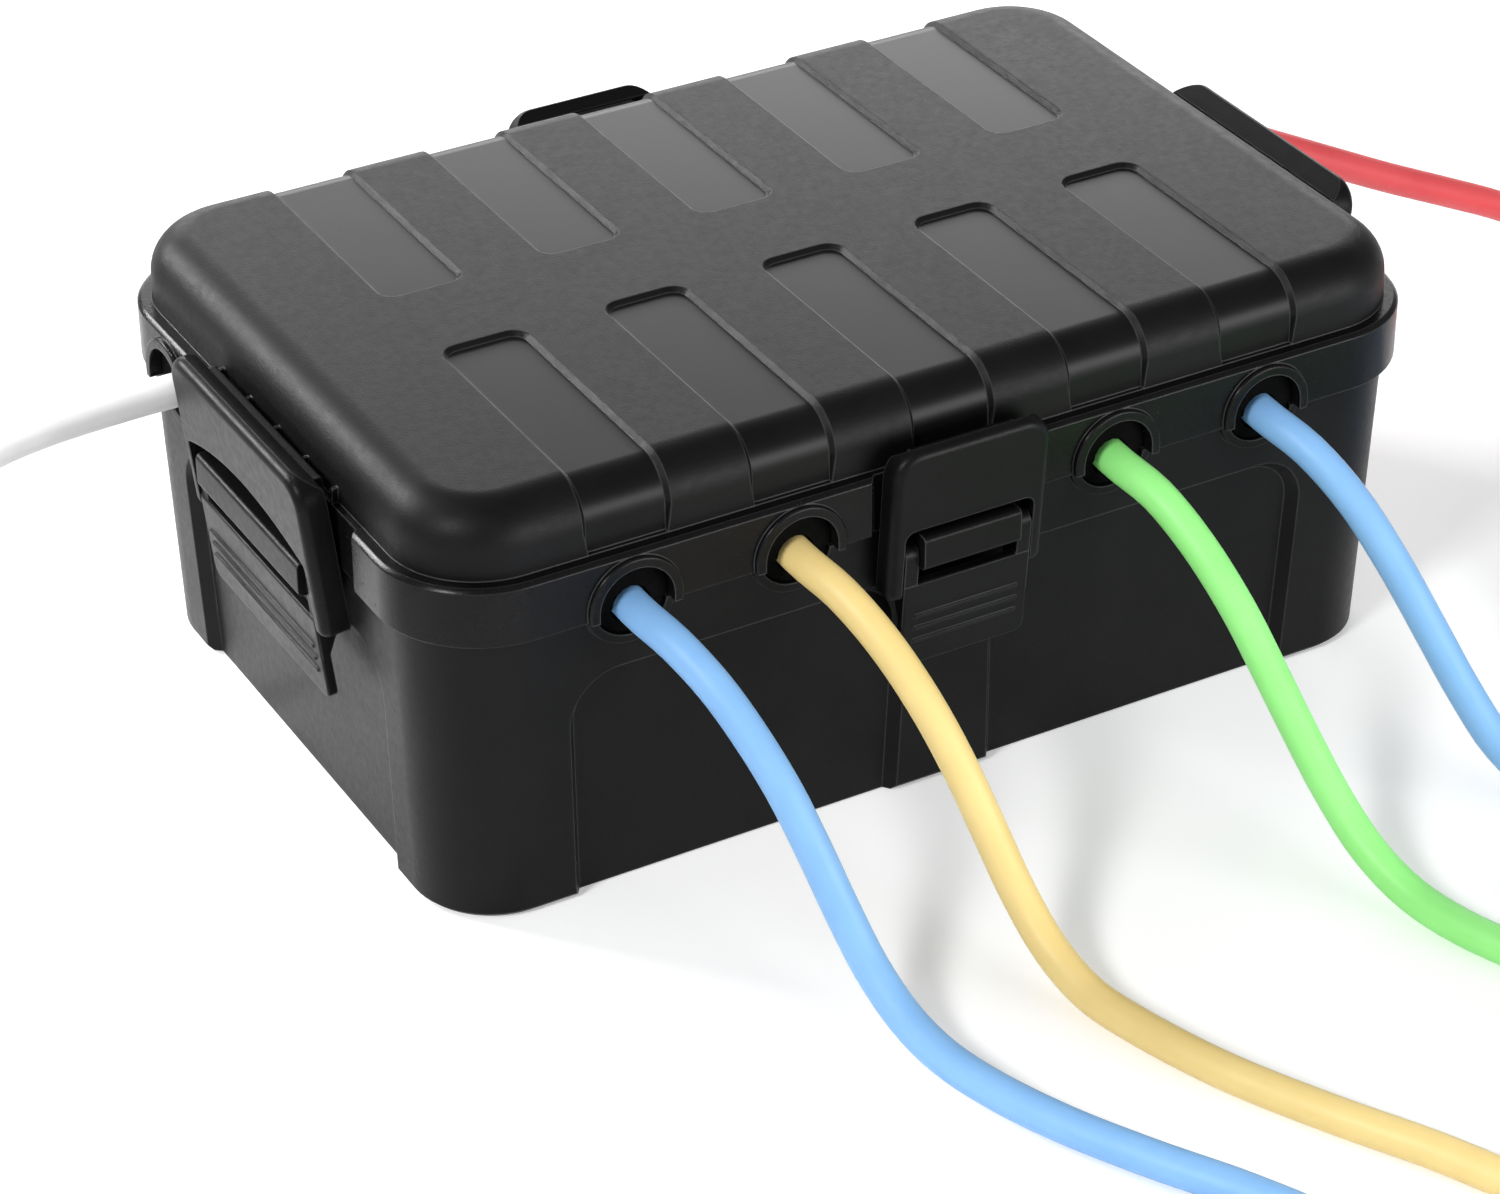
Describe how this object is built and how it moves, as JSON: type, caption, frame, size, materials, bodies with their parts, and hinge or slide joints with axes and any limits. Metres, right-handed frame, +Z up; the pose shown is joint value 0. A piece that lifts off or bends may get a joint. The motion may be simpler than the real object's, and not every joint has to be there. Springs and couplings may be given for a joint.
{
  "type": "weatherproof surge protected cable box",
  "caption": "Black moulded outdoor cable box with a lift-off lid, over-centre latches on every side, sealed ports with coloured cords, and a surge protected outlet strip inside.",
  "frame": {"origin": "middle of the box's underside", "axes": "+X along the box's length to its right, -Y out of the long side with four ports, +Z up"},
  "size_m": [0.807, 0.5489, 0.123],
  "materials": {
    "case_plastic": "fine matte grain, black",
    "seal_rubber": "soft matte black",
    "pin_steel": "drawn wire",
    "contact_brass": "stamped strip",
    "board": "lacquered board",
    "strip_plastic": "fine grain, grey",
    "switch_plastic": "gloss red",
    "button_plastic": "gloss black",
    "lens_plastic": "clear amber",
    "blue_jacket": "smooth extruded jacket, light blue",
    "yellow_jacket": "smooth extruded jacket, pale yellow",
    "green_jacket": "smooth extruded jacket, light green",
    "red_jacket": "smooth extruded jacket, light red",
    "white_jacket": "smooth extruded jacket, white"
  },
  "bodies": {
    "base": {"base_shell": "case_plastic", "seal_lower_blue_left": "seal_rubber", "seal_lower_yellow": "seal_rubber", "seal_lower_green": "seal_rubber", "seal_lower_blue_right": "seal_rubber", "seal_lower_red": "seal_rubber", "seal_lower_white": "seal_rubber", "hinge_pin_front": "pin_steel", "hinge_pin_right": "pin_steel", "hinge_pin_back": "pin_steel", "hinge_pin_left": "pin_steel", "strip_tray": "strip_plastic", "strip_cover": "strip_plastic", "busbar_live": "contact_brass", "busbar_neutral": "contact_brass", "busbar_earth": "contact_brass", "surge_board": "board", "indicator_lens": "lens_plastic", "plug_blue_left": "blue_jacket", "plug_yellow": "yellow_jacket", "plug_green": "green_jacket", "plug_blue_right": "blue_jacket", "plug_red": "red_jacket", "cord_blue_left": "blue_jacket", "cord_yellow": "yellow_jacket", "cord_green": "green_jacket", "cord_blue_right": "blue_jacket", "cord_red": "red_jacket", "cord_white": "white_jacket", "coil_blue_left": "blue_jacket", "coil_yellow": "yellow_jacket", "coil_green": "green_jacket", "coil_blue_right": "blue_jacket", "coil_red": "red_jacket", "coil_white": "white_jacket", "socket_blue_left": "blue_jacket", "socket_yellow": "yellow_jacket", "socket_green": "green_jacket", "socket_blue_right": "blue_jacket", "socket_red": "red_jacket", "mains_plug": "white_jacket"},
    "lid": {"lid_shell": "case_plastic", "lid_gasket": "seal_rubber", "seal_upper_blue_left": "seal_rubber", "seal_upper_yellow": "seal_rubber", "seal_upper_green": "seal_rubber", "seal_upper_blue_right": "seal_rubber", "seal_upper_red": "seal_rubber", "seal_upper_white": "seal_rubber"},
    "switch_rocker": {"switch_rocker": "switch_plastic"},
    "reset_button": {"reset_button": "button_plastic"},
    "lever_front": {"lever_front": "case_plastic"},
    "bail_front": {"bail_front": "case_plastic"},
    "lever_right": {"lever_right": "case_plastic"},
    "bail_right": {"bail_right": "case_plastic"},
    "lever_back": {"lever_back": "case_plastic"},
    "bail_back": {"bail_back": "case_plastic"},
    "lever_left": {"lever_left": "case_plastic"},
    "bail_left": {"bail_left": "case_plastic"}
  },
  "joints": [
    {"name": "lid_lift", "type": "slide", "parent": "base", "child": "lid", "axis": [0, 0, 1], "range_m": [0, 0.12]},
    {"name": "front_lever", "type": "hinge", "parent": "base", "child": "lever_front", "pos_m": [0, -0.101, 0.0795], "axis": [-1, 0, 0], "range_deg": [0, 95]},
    {"name": "front_bail", "type": "hinge", "parent": "lever_front", "child": "bail_front", "pos_m": [0, -0.10088, 0.07058], "axis": [-1, 0, 0], "range_deg": [-120, 0]},
    {"name": "right_lever", "type": "hinge", "parent": "base", "child": "lever_right", "pos_m": [0.153, -0.006, 0.0795], "axis": [0, -1, 0], "range_deg": [0, 95]},
    {"name": "right_bail", "type": "hinge", "parent": "lever_right", "child": "bail_right", "pos_m": [0.15259, -0.006, 0.07059], "axis": [0, -1, 0], "range_deg": [-120, 0]},
    {"name": "back_lever", "type": "hinge", "parent": "base", "child": "lever_back", "pos_m": [0, 0.101, 0.0795], "axis": [1, 0, 0], "range_deg": [0, 95]},
    {"name": "back_bail", "type": "hinge", "parent": "lever_back", "child": "bail_back", "pos_m": [0, 0.10088, 0.07058], "axis": [1, 0, 0], "range_deg": [-120, 0]},
    {"name": "left_lever", "type": "hinge", "parent": "base", "child": "lever_left", "pos_m": [-0.153, -0.006, 0.0795], "axis": [0, 1, 0], "range_deg": [0, 95]},
    {"name": "left_bail", "type": "hinge", "parent": "lever_left", "child": "bail_left", "pos_m": [-0.15259, -0.006, 0.07059], "axis": [0, 1, 0], "range_deg": [-120, 0]},
    {"name": "switch_rock", "type": "hinge", "parent": "base", "child": "switch_rocker", "pos_m": [-0.103, 0.03, 0.041], "axis": [1, 0, 0], "range_deg": [0, 16]},
    {"name": "reset_press", "type": "slide", "parent": "base", "child": "reset_button", "axis": [0, 0, -1], "range_m": [0, 0.002], "stiffness_N_per_m": 800, "springref_m": -0.001}
  ],
  "couplings": [
    {"joint": "front_bail", "follows": "front_lever", "ratio": -1.26},
    {"joint": "right_bail", "follows": "right_lever", "ratio": -1.26},
    {"joint": "back_bail", "follows": "back_lever", "ratio": -1.26},
    {"joint": "left_bail", "follows": "left_lever", "ratio": -1.26}
  ]
}
